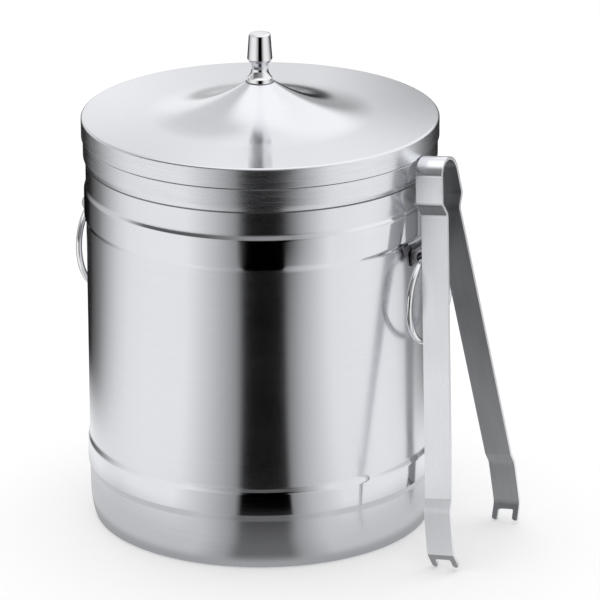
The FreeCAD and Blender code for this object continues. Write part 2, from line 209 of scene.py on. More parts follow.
# %% The rolled rim
RIM_Z = 144.5
BAND_T = 0.85
BAND_H = 6.9
BAND_SLOPE = 2.4
BAND_LIP = 3.0
WELL_R = 57.5           # inside of the ice well
BAND_R = DRUM_R + BAND_T
LIP_R = WELL_R - BAND_T
edge = BAND_T / 2
SEAM = 0.7              # painted shade: the rim's feathered edge is painted dark this far up from the drum
seam_top = (DRUM_R + BAND_T * SEAM / BAND_SLOPE, RIM_Z - BAND_H - BAND_SLOPE + SEAM)
rim = turned("rim", [(DRUM_R, RIM_Z - BAND_H - BAND_SLOPE), seam_top, (BAND_R, RIM_Z - BAND_H)]
             + arc((BAND_R - edge, RIM_Z - edge), edge, 0, 90, 5)
             + arc((LIP_R + edge, RIM_Z - edge), edge, 90, 180, 5)
             + [(LIP_R, BAND_UNDER - BAND_LIP), (WELL_R, BAND_UNDER - BAND_LIP),
                (WELL_R, BAND_UNDER), (DRUM_R, BAND_UNDER),
                (DRUM_R, RIM_Z - BAND_H - BAND_SLOPE)])
soften(rim, [(BAND_R, RIM_Z - BAND_H)], 0.6)
polish_off(rim)

# %% [markdown]
# ## The lid
#
# The lid is pressed from one disc: a nearly flat top, a hollow rise to the knob, and a side
# that is hemmed in under its edge. The hollow rise is an arc that starts flat, and a
# lathe profile gives it exactly. Reflections show every fault of it, so it gets many rings.

# %% The lid's skin
LID_PROUD = 0.55        # the lid's side stands this much outside the rim
LID_H = 7.7
LID_R = BAND_R + LID_PROUD
LID_TOP_Z = RIM_Z + LID_H
LID_EDGE = 0.9
LID_HEM = 0.45
LID_HEM_W = 3.5
RISE_R = 43.0           # where the hollow rise starts
RISE_H = 11.9
DISC_RISE = 0.3         # the disc round it is dished by this much
SEAT_R = 5.28           # flat seat of the knob
SCREW_HOLE = 2.05
KNOB_Z = LID_TOP_Z + DISC_RISE + RISE_H
RISE_STEPS = 28
rise_bow = ((RISE_R - SEAT_R) ** 2 + RISE_H ** 2) / (2 * RISE_H)
rise_turn = math.degrees(math.acos(1 - RISE_H / rise_bow))
rise_centre = (RISE_R, LID_TOP_Z + DISC_RISE + rise_bow)
top = [(SCREW_HOLE, KNOB_Z)]
top += arc(rise_centre, rise_bow, -90 - rise_turn, -90, RISE_STEPS)
side = arc((LID_R - LID_EDGE, LID_TOP_Z - LID_EDGE), LID_EDGE, 90, 0, 6)
side += arc((LID_R - LID_HEM, RIM_Z + LID_HEM), LID_HEM, 0, -90, 5)
under = [(LID_R - LID_HEM_W, RIM_Z), (LID_R - LID_HEM_W, RIM_Z + SHEET),
         (LID_R - SHEET, RIM_Z + SHEET), (LID_R - SHEET, LID_TOP_Z - SHEET)]
under += arc(rise_centre, rise_bow + SHEET, -90, -90 - rise_turn, RISE_STEPS)
under += [(SEAT_R - SHEET, KNOB_Z - SHEET), (SCREW_HOLE, KNOB_Z - SHEET), (SCREW_HOLE, KNOB_Z)]
lid = turned("lid", top + side + under)
polish_off(lid)

# %% [markdown]
# ## The knob
#
# The knob was turned from bar: a flared foot, a waist, a short neck, a sharp step and a grip
# that narrows upwards. It is solid, so its first ring is a filled disc, and the last ring is
# drawn together into a point in the middle of its top.

# %% The turned knob
KNOB_SIDES = 96
KNOB_FOOT_R = 4.65
KNOB_WAIST = (3.05, 5.1)
KNOB_NECK = (3.5, 7.5)
KNOB_STEP = (4.1, 7.8)
KNOB_GRIP = (4.57, 8.6)
KNOB_TOP_R = 3.9
KNOB_TOP_EDGE = 0.25    # bevel round the top
KNOB_FOOT_EDGE = 0.35   # upright edge of the foot
FLARE_BOW = 4.9         # radius of the hollow between foot and waist
KNOB_TOP_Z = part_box("lid_knob")[1].z / MM
flare_centre = (KNOB_WAIST[0] + FLARE_BOW, KNOB_Z + KNOB_WAIST[1])
flare = [p for p in arc(flare_centre, FLARE_BOW, 237, 180, 10) if p[0] < KNOB_FOOT_R]
neck_bow = [(KNOB_WAIST[0] + (KNOB_NECK[0] - KNOB_WAIST[0]) * s ** 2,
             KNOB_Z + KNOB_WAIST[1] + (KNOB_NECK[1] - KNOB_WAIST[1]) * s) for s in (0.25, 0.5, 0.75, 1)]
knob = turned("knob", [(KNOB_FOOT_R, KNOB_Z), (KNOB_FOOT_R, KNOB_Z + KNOB_FOOT_EDGE)]
              + flare + neck_bow
              + [(KNOB_STEP[0], KNOB_Z + KNOB_STEP[1]), (KNOB_GRIP[0], KNOB_Z + KNOB_GRIP[1]),
                 (KNOB_TOP_R, KNOB_TOP_Z - KNOB_TOP_EDGE), (KNOB_TOP_R * 0.8, KNOB_TOP_Z),
                 (KNOB_TOP_R * 0.4, KNOB_TOP_Z), (0, KNOB_TOP_Z)],
              filled=True, sides=KNOB_SIDES)
soften(knob, [(KNOB_GRIP[0], KNOB_Z + KNOB_GRIP[1]), (KNOB_TOP_R, KNOB_TOP_Z - KNOB_TOP_EDGE)],
       KNOB_TOP_EDGE)
soften(knob, [(KNOB_FOOT_R, KNOB_Z + KNOB_FOOT_EDGE)], 0.15)
polish_off(knob)

# %% [markdown]
# ## Lugs and rings
#
# Each handle hangs in a lug: a short strip rolled round the ring's wire, with both ends
# brought together and welded to the wall. Barrel, neck and plate are three simple shapes,
# and boolean modifiers make one piece of them, as the weld does. The bevel comes after.

# %% One lug, on the right
HOLE_R = 2.3
BARREL_R = 3.3
BARREL_W = 12.0
NECK_T = 2.4
PLATE_T = 0.8
PLATE_H = 7.6
LUG_OUT = 4.9           # from the wall to the ring's wire
LUG_X = DRUM_R + LUG_OUT
LUG_Z = 109.3


def upright_box(low, high):
    """A box between two corners, in millimetres."""
    fresh()
    middle = [(a + b) / 2 * MM for a, b in zip(low, high)]
    bpy.ops.mesh.primitive_cube_add(size=1, location=middle)
    box = bpy.context.object
    box.scale = [(b - a) * MM for a, b in zip(low, high)]
    bpy.ops.object.transform_apply(location=True, scale=True)
    return box


def rod(radius, length, middle, sides=64, axis="Y"):
    """A round bar along Y or X, in millimetres."""
    fresh()
    turn = (math.pi / 2, 0, 0) if axis == "Y" else (0, math.pi / 2, 0)
    bpy.ops.mesh.primitive_cylinder_add(vertices=sides, radius=radius * MM, depth=length * MM,
                                        location=[v * MM for v in middle], rotation=turn)
    bar = bpy.context.object
    bpy.ops.object.transform_apply(location=True, rotation=True)
    return bar


def combine(piece, tool, how):
    """Joins the tool to the piece, or cuts it out of it, and removes the tool."""
    bpy.context.view_layer.objects.active = piece
    change = piece.modifiers.new("combine", "BOOLEAN")
    change.operation = how
    change.solver = "EXACT"
    change.object = tool
    bpy.ops.object.modifier_apply(modifier=change.name)
    bpy.data.objects.remove(tool)


def bevel_edges(piece, width, cuts=2, angle=35):
    bpy.context.view_layer.objects.active = piece
    change = piece.modifiers.new("bevel", "BEVEL")
    change.width = width * MM
    change.segments = cuts
    change.limit_method = "ANGLE"
    change.angle_limit = math.radians(angle)
    bpy.ops.object.modifier_apply(modifier=change.name)


half = BARREL_W / 2
lug_right = rod(BARREL_R, BARREL_W, (LUG_X, 0, LUG_Z))
lug_right.name = "lug_right_dressed"
combine(lug_right, upright_box((DRUM_R - 0.5, -half, LUG_Z - NECK_T / 2),
                               (LUG_X - HOLE_R, half, LUG_Z + NECK_T / 2)), "UNION")
combine(lug_right, upright_box((DRUM_R - 0.5, -half, LUG_Z - PLATE_H / 2),
                               (DRUM_R + PLATE_T, half, LUG_Z + PLATE_H / 2)), "UNION")
combine(lug_right, rod(HOLE_R, 2 * BARREL_W, (LUG_X, 0, LUG_Z)), "DIFFERENCE")
bevel_edges(lug_right, 0.2)
polish_off(lug_right)

# %% The other lug is the same piece, turned half round
def half_turn(piece, name):
    """A copy with its own mesh, on the other side of the bucket."""
    copy = piece.copy()
    copy.data = piece.data.copy()
    copy.name = name
    bpy.context.scene.collection.objects.link(copy)
    copy.data.transform(Matrix.Rotation(math.pi, 4, "Z"))
    return copy


lug_left = half_turn(lug_right, "lug_left_dressed")
print("lugs at x", LUG_X, "and", -LUG_X)

# %% [markdown]
# A ring handle is a length of round wire, bent to a circle and butt-welded. Blender has a
# ready-made torus, but spinning the wire's section round the ring's middle is just as
# short, and leaves a section that can be swollen a little where the weld is.

# %% The ring handles
RING_R = 16.5
WIRE_R = 1.15
RING_HANG = 0.3         # the wire lies this much above the middle of its hole
RING_Z = LUG_Z + RING_HANG - RING_R
WIRE_SIDES = 28
RING_STEPS = 168
LEFT_LEAN = 5.0         # the left ring leans to the wall
WELD_SWELL = 1.05
WELD_SPAN = 0.7         # half the weld's length, in mm


def ring(name):
    fresh()
    bpy.ops.mesh.primitive_circle_add(vertices=WIRE_SIDES, radius=WIRE_R * MM,
                                      location=(LUG_X * MM, 0, (RING_Z - RING_R) * MM),
                                      rotation=(math.pi / 2, 0, 0))
    piece = bpy.context.object
    piece.name = name
    bpy.ops.object.transform_apply(location=True, rotation=True)
    bpy.ops.object.mode_set(mode="EDIT")
    bpy.ops.mesh.select_all(action="SELECT")
    bpy.ops.mesh.spin(steps=RING_STEPS, angle=2 * math.pi, axis=(1, 0, 0),
                      center=(LUG_X * MM, 0, RING_Z * MM))
    tidy_faces()
    foot = Vector((LUG_X, 0, RING_Z - RING_R)) * MM
    for vertex in piece.data.vertices:
        if vertex.co.z < RING_Z * MM and abs(vertex.co.y) < WELD_SPAN * MM:
            away = vertex.co - foot
            vertex.co = foot + Vector((away.x * WELD_SWELL, away.y, away.z * WELD_SWELL))
    return piece


ring_right = polish_off(ring("ring_right_dressed"))
ring_left = ring("ring_left_dressed")
axis_point = Matrix.Translation(Vector((LUG_X, 0, LUG_Z)) * MM)
lean = axis_point @ Matrix.Rotation(math.radians(LEFT_LEAN), 4, "Y") @ axis_point.inverted()
ring_left.data.transform(Matrix.Rotation(math.pi, 4, "Z") @ lean)
polish_off(ring_left)

# %% [markdown]
# ## The tongs
#
# The tongs are one flat strip of spring steel: notched toes, a small joggle above them,
# straight legs that run together, and a round bow that pushes them apart.
# A strip is bent round a former, corner after corner, and that can be done here in the same
# way: extrude the strip's end for each straight run, and spin it about a centre for each bend.
# Each half is a piece of its own, since the bow lets the two legs move.

# %% The path of one half, drawn flat
STRIP_W = 10.4
STRIP_T = 1.2
BOW_R = 6.3
BOW_TOP = 145.7
BOW_FLARE = 10.6        # degrees by which the bow opens below its round top
BOW_SIDE = 9.7
TOE = Vector((24.7, 0.0))
KNEE = Vector((28.2, 5.9))
ANKLE = Vector((27.3, 22.1))
SHOULDER = Vector((25.2, 25.7))
PINCH = Vector((4.95, 126.3))
flare_angle = math.radians(BOW_FLARE)
bow_centre = Vector((0, BOW_TOP - BOW_R))
bow_start = bow_centre + BOW_R * Vector((math.cos(flare_angle), math.sin(flare_angle)))
bow_corner = bow_start + BOW_SIDE * Vector((math.sin(flare_angle), -math.cos(flare_angle)))
corners = [(KNEE, 4.5), (ANKLE, 6.0), (SHOULDER, 1.6), (PINCH, 3.0), (bow_corner, 3.0)]
BEND_STEPS = 8
BOW_STEPS = 28


def run(distance):
    """Pushes the strip's end on by that distance, given as a vector in millimetres."""
    value = (distance.x * MM, distance.y * MM, 0)
    bpy.ops.mesh.extrude_region_move(TRANSFORM_OT_translate={"value": value})


def bend(centre, angle, steps):
    """Turns the strip's end about a centre in the flat drawing; spin counts clockwise."""
    bpy.ops.mesh.spin(steps=steps, angle=-angle, axis=(0, 0, 1),
                      center=(centre.x * MM, centre.y * MM, 0))


# %% Extrude the runs and spin the bends
def bent_strip(name):
    fresh()
    first = (KNEE - TOE).normalized()
    bpy.ops.mesh.primitive_plane_add(size=1, location=(TOE.x * MM, TOE.y * MM, 0))
    piece = bpy.context.object
    piece.name = name
    piece.scale = (STRIP_T * MM, STRIP_W * MM, 1)
    across = Vector((first.y, -first.x, 0))
    piece.rotation_euler = Matrix((across, (0, 0, 1), (first.x, first.y, 0))).transposed().to_euler()
    bpy.ops.object.transform_apply(location=True, rotation=True, scale=True)
    bpy.ops.object.mode_set(mode="EDIT")
    bpy.ops.mesh.select_all(action="SELECT")
    here = TOE
    for index, (corner, radius) in enumerate(corners):
        after = corners[index + 1][0] if index + 1 < len(corners) else bow_start
        along, ahead = (corner - here).normalized(), (after - corner).normalized()
        angle = math.atan2(along.x * ahead.y - along.y * ahead.x, along.dot(ahead))
        reach = radius * math.tan(abs(angle) / 2)
        start = corner - along * reach
        run(start - here)
        left = Vector((-along.y, along.x)) * math.copysign(radius, angle)
        bend(start + left, angle, BEND_STEPS)
        here = corner + ahead * reach
    run(bow_start - here)
    bend(bow_centre, math.pi / 2 - flare_angle, BOW_STEPS)
    tidy_faces()
    return piece


tongs_back = bent_strip("tongs_back_half")
print("bent strip spans", [round(d / MM, 2) for d in tongs_back.dimensions], "mm")

# %% [markdown]
# The toes are notched to hold ice, and the tips of the two prongs are round. The cutters
# stand across the toe, in the same flat drawing, before the tongs are stood up.

# %% Notch the toe and round its prongs
PRONG_W = 2.2
NOTCH_DEPTH = 4.2
NOTCH_CORNER = 0.7
CUT_DEPTH = 6.0
TIP_SIDES = 32
half_notch = STRIP_W / 2 - PRONG_W
toe_out = (TOE - KNEE).normalized()
toe_turn = Matrix.Rotation(math.atan2(toe_out.y, toe_out.x), 4, "Z")
toe_place = Matrix.Translation(Vector((TOE.x, TOE.y, 0)) * MM) @ toe_turn


def at_toe(tool):
    """Moves a cutter made at the origin, pointing along X, to the end of the toe."""
    tool.data.transform(toe_place)
    return tool


notch = upright_box((-NOTCH_DEPTH, -CUT_DEPTH, -half_notch), (CUT_DEPTH, CUT_DEPTH, half_notch))
bevel_edges(notch, NOTCH_CORNER, cuts=6)
combine(tongs_back, at_toe(notch), "DIFFERENCE")
tip_r = PRONG_W / 2
for sign in (-1, 1):
    middle = sign * (STRIP_W / 2 - tip_r)
    corner_block = upright_box((-tip_r, -CUT_DEPTH, middle - tip_r - 0.01),
                               (CUT_DEPTH, CUT_DEPTH, middle + tip_r + 0.01))
    combine(corner_block, rod(tip_r, 4 * CUT_DEPTH, (-tip_r, 0, middle), sides=TIP_SIDES), "DIFFERENCE")
    combine(tongs_back, at_toe(corner_block), "DIFFERENCE")
bevel_edges(tongs_back, 0.22)
print("toe cut; the half strip has", len(tongs_back.data.polygons), "faces")

# %% Stand the tongs up beside the right-hand handle
TONGS_LEAN = 6.85
tongs_front = tongs_back.copy()
tongs_front.data = tongs_back.data.copy()
tongs_front.name = "tongs_front_half"
bpy.context.scene.collection.objects.link(tongs_front)
tongs_front.data.transform(Matrix.Scale(-1, 4, (1, 0, 0)))
tongs_front.data.flip_normals()
stand_up = Matrix(((0, 0, 1, 0), (1, 0, 0, 0), (0, 1, 0, 0), (0, 0, 0, 1)))
lean_in = Matrix.Rotation(math.radians(-TONGS_LEAN), 4, "Y")
for tongs_half, leg in ((tongs_back, "tongs_leg_back"), (tongs_front, "tongs_leg_front")):
    tongs_half.data.transform(lean_in @ stand_up)
    lowest = min(tongs_half.data.vertices, key=lambda v: v.co.z).co.z
    furthest = max(v.co.x for v in tongs_half.data.vertices)
    low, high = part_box(leg)
    tongs_half.data.transform(Matrix.Translation((high.x - furthest, 0, low.z - lowest)))
    polish_off(tongs_half, angle=25)

# %% [markdown]
# ## Steel, brushed three ways
#
# All of this is stainless steel, and only the way it was rubbed differs. Scratches that run
# round the drum smear reflections up and down; on the tongs they run lengthwise.
# Two things make that: an anisotropic shader, which smears the reflection across the
# scratches, and a stretched noise, which is the scratches themselves, in tone, roughness
# and a very shallow bump.

# %% Node helpers
def node(material, kind, values=None, **settings):
    made = material.node_tree.nodes.new(kind)
    for name, value in settings.items():
        setattr(made, name, value)
    for name, value in (values or {}).items():
        made.inputs[name].default_value = value
    return made


def link(material, source, target):
    material.node_tree.links.new(source, target)


def shader(name, colour, roughness, anisotropy=0.0, turn=0.0):
    """A new metal with its even values set on the shader itself."""
    material = bpy.data.materials.new(name)
    material.use_nodes = True
    metal = material.node_tree.nodes["Principled BSDF"]
    metal.inputs["Metallic"].default_value = 1.0
    metal.inputs["Base Color"].default_value = (*colour, 1.0)
    metal.inputs["Roughness"].default_value = roughness
    metal.inputs["Anisotropic"].default_value = anisotropy
    metal.inputs["Anisotropic Rotation"].default_value = turn
    return material, metal


# %% Where the scratches run
def round_the_axis(material, wide, fine):
    """Coordinates that change slowly round the axis and quickly along the profile."""
    place = node(material, "ShaderNodeTexCoord")
    parts = node(material, "ShaderNodeSeparateXYZ")
    link(material, place.outputs["Object"], parts.inputs[0])
    flat = node(material, "ShaderNodeVectorMath", operation="MULTIPLY")
    flat.inputs[1].default_value = (1, 1, 0)
    link(material, place.outputs["Object"], flat.inputs[0])
    radius = node(material, "ShaderNodeVectorMath", operation="LENGTH")
    link(material, flat.outputs[0], radius.inputs[0])
    along = node(material, "ShaderNodeMath", operation="SUBTRACT")
    link(material, radius.outputs["Value"], along.inputs[0])
    link(material, parts.outputs["Z"], along.inputs[1])
    joined = node(material, "ShaderNodeCombineXYZ")
    link(material, parts.outputs["X"], joined.inputs["X"])
    link(material, parts.outputs["Y"], joined.inputs["Y"])
    link(material, along.outputs[0], joined.inputs["Z"])
    mapping = node(material, "ShaderNodeMapping",
                   {"Scale": [1 / (size * MM) for size in (wide, wide, fine)]})
    link(material, joined.outputs[0], mapping.inputs["Vector"])
    return mapping.outputs["Vector"]


def straight(material, scale, turn=(0, 0, 0)):
    """Coordinates stretched along straight lines; scale is in mm per scratch, on each axis."""
    place = node(material, "ShaderNodeTexCoord")
    mapping = node(material, "ShaderNodeMapping", {"Rotation": turn})
    link(material, place.outputs["Object"], mapping.inputs["Vector"])
    stretch = node(material, "ShaderNodeMapping", {"Scale": [1 / (s * MM) for s in scale]})
    link(material, mapping.outputs["Vector"], stretch.inputs["Vector"])
    return stretch.outputs["Vector"]


# %% The scratches themselves
def scratched(material, metal, place, colour, tone, roughness, bump):
    """Tone and roughness are (low, high); bump is the depth of a scratch in mm."""
    lines = node(material, "ShaderNodeTexNoise", {"Scale": 1.0, "Detail": 3.0, "Roughness": 0.6})
    link(material, place, lines.inputs["Vector"])
    cloud_place = node(material, "ShaderNodeTexCoord")
    cloud = node(material, "ShaderNodeTexNoise", {"Scale": 35.0, "Detail": 2.0, "Roughness": 0.5})
    link(material, cloud_place.outputs["Object"], cloud.inputs["Vector"])
    shade = node(material, "ShaderNodeMapRange",
                 {"From Min": 0.3, "From Max": 0.7, "To Min": tone[0], "To Max": tone[1]})
    link(material, lines.outputs["Fac"], shade.inputs["Value"])
    tint = node(material, "ShaderNodeMix", {"Factor": 1.0}, data_type="RGBA", blend_type="MULTIPLY")
    tint.inputs[6].default_value = (*colour, 1.0)
    link(material, shade.outputs["Result"], tint.inputs[7])
    link(material, tint.outputs[2], metal.inputs["Base Color"])
    both = node(material, "ShaderNodeMath", operation="ADD")
    link(material, lines.outputs["Fac"], both.inputs[0])
    link(material, cloud.outputs["Fac"], both.inputs[1])
    rough = node(material, "ShaderNodeMapRange",
                 {"From Min": 0.7, "From Max": 1.3, "To Min": roughness[0], "To Max": roughness[1]})
    link(material, both.outputs[0], rough.inputs["Value"])
    link(material, rough.outputs["Result"], metal.inputs["Roughness"])
    grooves = node(material, "ShaderNodeBump", {"Strength": 1.0, "Distance": bump * MM})
    link(material, lines.outputs["Fac"], grooves.inputs["Height"])
    link(material, grooves.outputs["Normal"], metal.inputs["Normal"])


def brushed_round(name, colour, roughness, anisotropy, wide, fine, tone, bump):
    """Steel brushed round the bucket's axis: reflections smear along the profile."""
    material, metal = shader(name, colour, roughness[0], anisotropy, turn=0.25)
    way = node(material, "ShaderNodeTangent", direction_type="RADIAL", axis="Z")
    link(material, way.outputs[0], metal.inputs["Tangent"])
    scratched(material, metal, round_the_axis(material, wide, fine), colour, tone, roughness, bump)
    return material


# %% [markdown]
# ## The finishes
#
# The drum has a fine satin, still glossy enough to show the rings beside it. The lid's top
# is finer still. The rim and the lid's side are brushed more coarsely. The knob and the
# rings are polished, and the belts, which rub against hands and cloths and were pressed
# against a polished former, shine more than the rest of the drum. Where two sheets meet,
# a dull dark grey on the narrow faces there is painted shade, standing in for the crevice's shadow.

# %% Make the finishes
# Each line gives a colour, roughness from and to, anisotropy, the length and width of a
# scratch in mm, the range of its tone and its depth in mm.
STEEL = (0.755, 0.765, 0.80)
LINER = (0.68, 0.69, 0.71)
# The darkest grey is painted shade, for the crevices where sheets meet.
SEAM_SHADE_GREY = (0.2, 0.2, 0.21)
drum_satin = brushed_round("drum_satin", STEEL, (0.19, 0.24), 0.75, 45, 0.35, (0.985, 1.015), 0.00004)
belt_shine = brushed_round("belt_shine", STEEL, (0.07, 0.11), 0.55, 60, 0.4, (0.985, 1.015), 0.00004)
rim_brushed = brushed_round("rim_brushed", STEEL, (0.22, 0.32), 0.75, 14, 0.35, (0.93, 1.05), 0.0003)
# The next finish is a dark grey painted where sheets meet: painted shade for the shadow in the crevice.
seam_painted_shade = brushed_round("seam_painted_shade", SEAM_SHADE_GREY, (0.35, 0.5), 0.4, 14, 0.35, (0.8, 1.1), 0.0003)
lid_satin = brushed_round("lid_satin", STEEL, (0.12, 0.16), 0.7, 40, 0.4, (0.985, 1.015), 0.00005)
liner_satin = brushed_round("liner_satin", LINER, (0.28, 0.4), 0.6, 40, 0.4, (0.95, 1.04), 0.002)


def polished(name, colour, roughness, cloud_size, bump):
    """Polished metal: hardly any scratches, and a slight unevenness of the polish."""
    material, metal = shader(name, colour, roughness[0])
    place = straight(material, (cloud_size, cloud_size, cloud_size))
    scratched(material, metal, place, colour, (0.98, 1.02), roughness, bump)
    return material


chrome = polished("chrome", (0.82, 0.82, 0.84), (0.03, 0.07), 2.5, 0.0004)
# The lugs take a dark grey: painted shade, which stands in for the dark surroundings that their polish
# reflects.
lug_painted_dark = polished("lug_painted_dark", (0.4, 0.4, 0.42), (0.12, 0.2), 2.5, 0.0004)
zinc = polished("zinc", (0.6, 0.6, 0.62), (0.3, 0.42), 0.5, 0.004)

# %% [markdown]
# The strip of the tongs was brushed lengthwise before it was bent. Its inside, the pressed
# joggle and every face that looks down get a dark grey: painted shade. The top of the bow
# is rubbed smooth by the hand that holds it, and the feet are matt. One strip gets four
# finishes, and each face will take the one that fits the way it looks.

# %% The tongs' and the base's straight scratches
STRIP = (0.92, 0.93, 0.96)
STRIP_SHADE = (0.38, 0.385, 0.395)     # painted shade: dark grey for the faces that look at the other leg or down
strip_turn = (0, math.radians(TONGS_LEAN), 0)
tongs_satin, tongs_metal = shader("tongs_satin", STRIP, 0.3, 0.7)
tongs_metal.inputs["Metallic"].default_value = 0.8
strip_across = node(tongs_satin, "ShaderNodeCombineXYZ", {
    "X": math.cos(math.radians(TONGS_LEAN)), "Z": math.sin(math.radians(TONGS_LEAN))})
link(tongs_satin, strip_across.outputs[0], tongs_metal.inputs["Tangent"])
scratched(tongs_satin, tongs_metal, straight(tongs_satin, (0.35, 30, 30), strip_turn), STRIP,
          (0.96, 1.03), (0.26, 0.36), 0.0006)
tongs_shine, shine_metal = shader("tongs_shine", STRIP, 0.2, 0.5)
scratched(tongs_shine, shine_metal, straight(tongs_shine, (0.35, 30, 30), strip_turn), STRIP,
          (0.98, 1.01), (0.17, 0.24), 0.0002)
tongs_dull, dull_metal = shader("tongs_dull", STRIP, 0.45, 0.2)
dull_metal.inputs["Metallic"].default_value = 0.3
scratched(tongs_dull, dull_metal, straight(tongs_dull, (0.35, 30, 30), strip_turn), STRIP,
          (0.97, 1.02), (0.4, 0.5), 0.0006)
# A dark grey copy of the strip's finish: painted shade for the faces that look at the other leg or
# down.
tongs_painted_shade, shade_metal = shader("tongs_painted_shade", STRIP_SHADE, 0.4, 0.3)
scratched(tongs_painted_shade, shade_metal, straight(tongs_painted_shade, (0.5, 20, 20), strip_turn),
          STRIP_SHADE, (0.92, 1.06), (0.34, 0.46), 0.0006)
base_steel, base_metal = shader("base_steel", LINER, 0.4)
scratched(base_steel, base_metal, straight(base_steel, (25, 0.5, 25)), LINER, (0.9, 1.05),
          (0.36, 0.5), 0.001)
print("finishes:", [m.name for m in bpy.data.materials if m.users or m.use_nodes][:12])

# %% [markdown]
# ## Dress the pieces
#
# Each piece rides on the body that it belongs to, hides the solid that it stands for, and
# takes a finish. The liner, the lid's pan, the base plate, the screw and its washer keep
# their solids, whose shapes are right, and only change their finish.

# %% Give every piece its finish and its body, and hide its solid
def paint(piece, *finishes):
    piece.data.materials.clear()
    for finish in finishes:
        piece.data.materials.append(finish)


def dress(piece, finish, body, slot, *nodes):
    paint(piece, finish)
    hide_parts(*nodes)
    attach(piece, body)


dress(drum, drum_satin, "bucket", "body_satin", "outer_shell")
dress(rim, rim_brushed, "bucket", "rim_brushed", "rim_band")
dress(lug_right, lug_painted_dark, "bucket", "polished", "lug_right")
dress(lug_left, lug_painted_dark, "bucket", "polished", "lug_left")
dress(ring_right, chrome, "right_ring", "polished", "ring_right")
dress(ring_left, chrome, "left_ring", "polished", "ring_left")
dress(lid, lid_satin, "lid", "lid_satin", "lid_shell")
dress(knob, chrome, "lid", "polished", "lid_knob")
for name, finish in (("inner_liner", liner_satin), ("lid_pan", liner_satin),
                     ("base_plate", base_steel), ("knob_screw", zinc), ("knob_washer", zinc)):
    paint(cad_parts[name], finish)

# %% The belts are shinier, the lid's side is brushed more coarsely, and seams get painted shade
ON_A_BELT = 0.15        # how far out a face of the drum stands to count as a belt's
paint(drum, drum_satin, belt_shine)
for face in drum.data.polygons:
    radius = math.hypot(face.center.x, face.center.y) / MM
    if radius > DRUM_R + ON_A_BELT:
        face.material_index = 1
paint(lid, lid_satin, rim_brushed, seam_painted_shade)
for face in lid.data.polygons:
    at = face.center.z / MM
    # The hem's lower curve, on the rim, and the seat under the knob's foot take the dark grey: painted
    # shade.
    if at < RIM_Z + LID_HEM * 0.6 or at > KNOB_Z - SHEET / 4:
        face.material_index = 2
    elif at < LID_TOP_Z - LID_EDGE / 2:
        face.material_index = 1
# The lowest faces of the rim's feathered edge take the dark grey: painted shade where it meets the
# drum.
paint(rim, rim_brushed, seam_painted_shade)
for face in rim.data.polygons:
    if face.center.z < seam_top[1] * MM:
        face.material_index = 1
for piece in (drum, lid, rim):
    print(piece.name, "has", len(piece.data.materials), "finishes")

# %% [markdown]
# The two halves of the tongs bend where the bow's round top meets its sides. Their faces
# are sorted by the way they look: inwards or down, up round the bow, or outwards on the foot.

# %% Finish the tongs' halves and hide their solids
INWARDS = -0.5
DOWNWARDS = -0.3
OUTWARDS = 0.5
SIDEWAYS = 0.5
for tongs_half, body, leg, hinge in (
        (tongs_back, "tongs_back", "tongs_leg_back", "tongs_back_squeeze"),
        (tongs_front, "tongs_front", "tongs_leg_front", "tongs_front_squeeze")):
    paint(tongs_half, tongs_satin, tongs_painted_shade, tongs_shine, tongs_dull)
    outward = 1 if leg == "tongs_leg_back" else -1
    for face in tongs_half.data.polygons:
        looks_out = face.normal.y * outward
        # Faces that look at the other leg or down take the dark grey: painted shade.
        if looks_out < INWARDS or face.normal.z < DOWNWARDS:
            face.material_index = 1
        elif abs(face.normal.x) < SIDEWAYS and face.center.z > bow_start.y * MM:
            face.material_index = 2
        elif looks_out > OUTWARDS and face.center.z < SHOULDER.y * MM:
            face.material_index = 3
    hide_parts(leg, "tongs_bow")
    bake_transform(tongs_half)

# %% [markdown]
# ## Floor and light
#
# Steel has hardly any colour of its own, so what it stands in is what it looks like.
# The floor and the surroundings are white. A dark aisle in front, towards the camera, and
# a dark room behind give the drum its black stripe and its dark edges. These dark parts
# are seen in reflections only: they cast no shadow and take no light from the floor.

# %% The camera's directions
AZIMUTH = math.radians(27.4)
TILT = math.radians(19.52)
ROLL = math.radians(-0.19)
to_right = Vector((math.cos(AZIMUTH), math.sin(AZIMUTH), 0))
away = Vector((-math.sin(AZIMUTH), math.cos(AZIMUTH), 0))
up = away * math.sin(TILT) + Vector((0, 0, 1)) * math.cos(TILT)
forward = away * math.cos(TILT) - Vector((0, 0, 1)) * math.sin(TILT)

# %% The floor
FLOOR_SIZE = 6
FLOOR_DROP = 0.2        # keeps the floor just under the bucket, in mm
PALE = 0.86
FLOOR_GLOW = 0.3        # added where the floor is looked at, so that it comes out white
fresh()
bpy.ops.mesh.primitive_plane_add(size=FLOOR_SIZE, location=(0, 0, -FLOOR_DROP * MM))
floor = bpy.context.object
floor.name = "floor"
pale = bpy.data.materials.new("pale_floor")
pale.use_nodes = True
pale.node_tree.nodes.clear()
matte = node(pale, "ShaderNodeBsdfDiffuse", {"Color": (PALE, PALE, PALE, 1)})
glow = node(pale, "ShaderNodeEmission", {"Color": (1, 1, 1, 1)})
rays = node(pale, "ShaderNodeLightPath")
seen = node(pale, "ShaderNodeMath", operation="MAXIMUM")
seen_too = node(pale, "ShaderNodeMath", operation="MAXIMUM")
lift = node(pale, "ShaderNodeMath", operation="MULTIPLY")
lift.inputs[1].default_value = FLOOR_GLOW
link(pale, rays.outputs["Is Camera Ray"], seen.inputs[0])
link(pale, rays.outputs["Is Glossy Ray"], seen.inputs[1])
link(pale, seen.outputs[0], seen_too.inputs[0])
link(pale, rays.outputs["Is Transmission Ray"], seen_too.inputs[1])
link(pale, seen_too.outputs[0], lift.inputs[0])
link(pale, lift.outputs[0], glow.inputs["Strength"])
total = node(pale, "ShaderNodeAddShader")
end = node(pale, "ShaderNodeOutputMaterial")
link(pale, matte.outputs[0], total.inputs[0])
link(pale, glow.outputs[0], total.inputs[1])
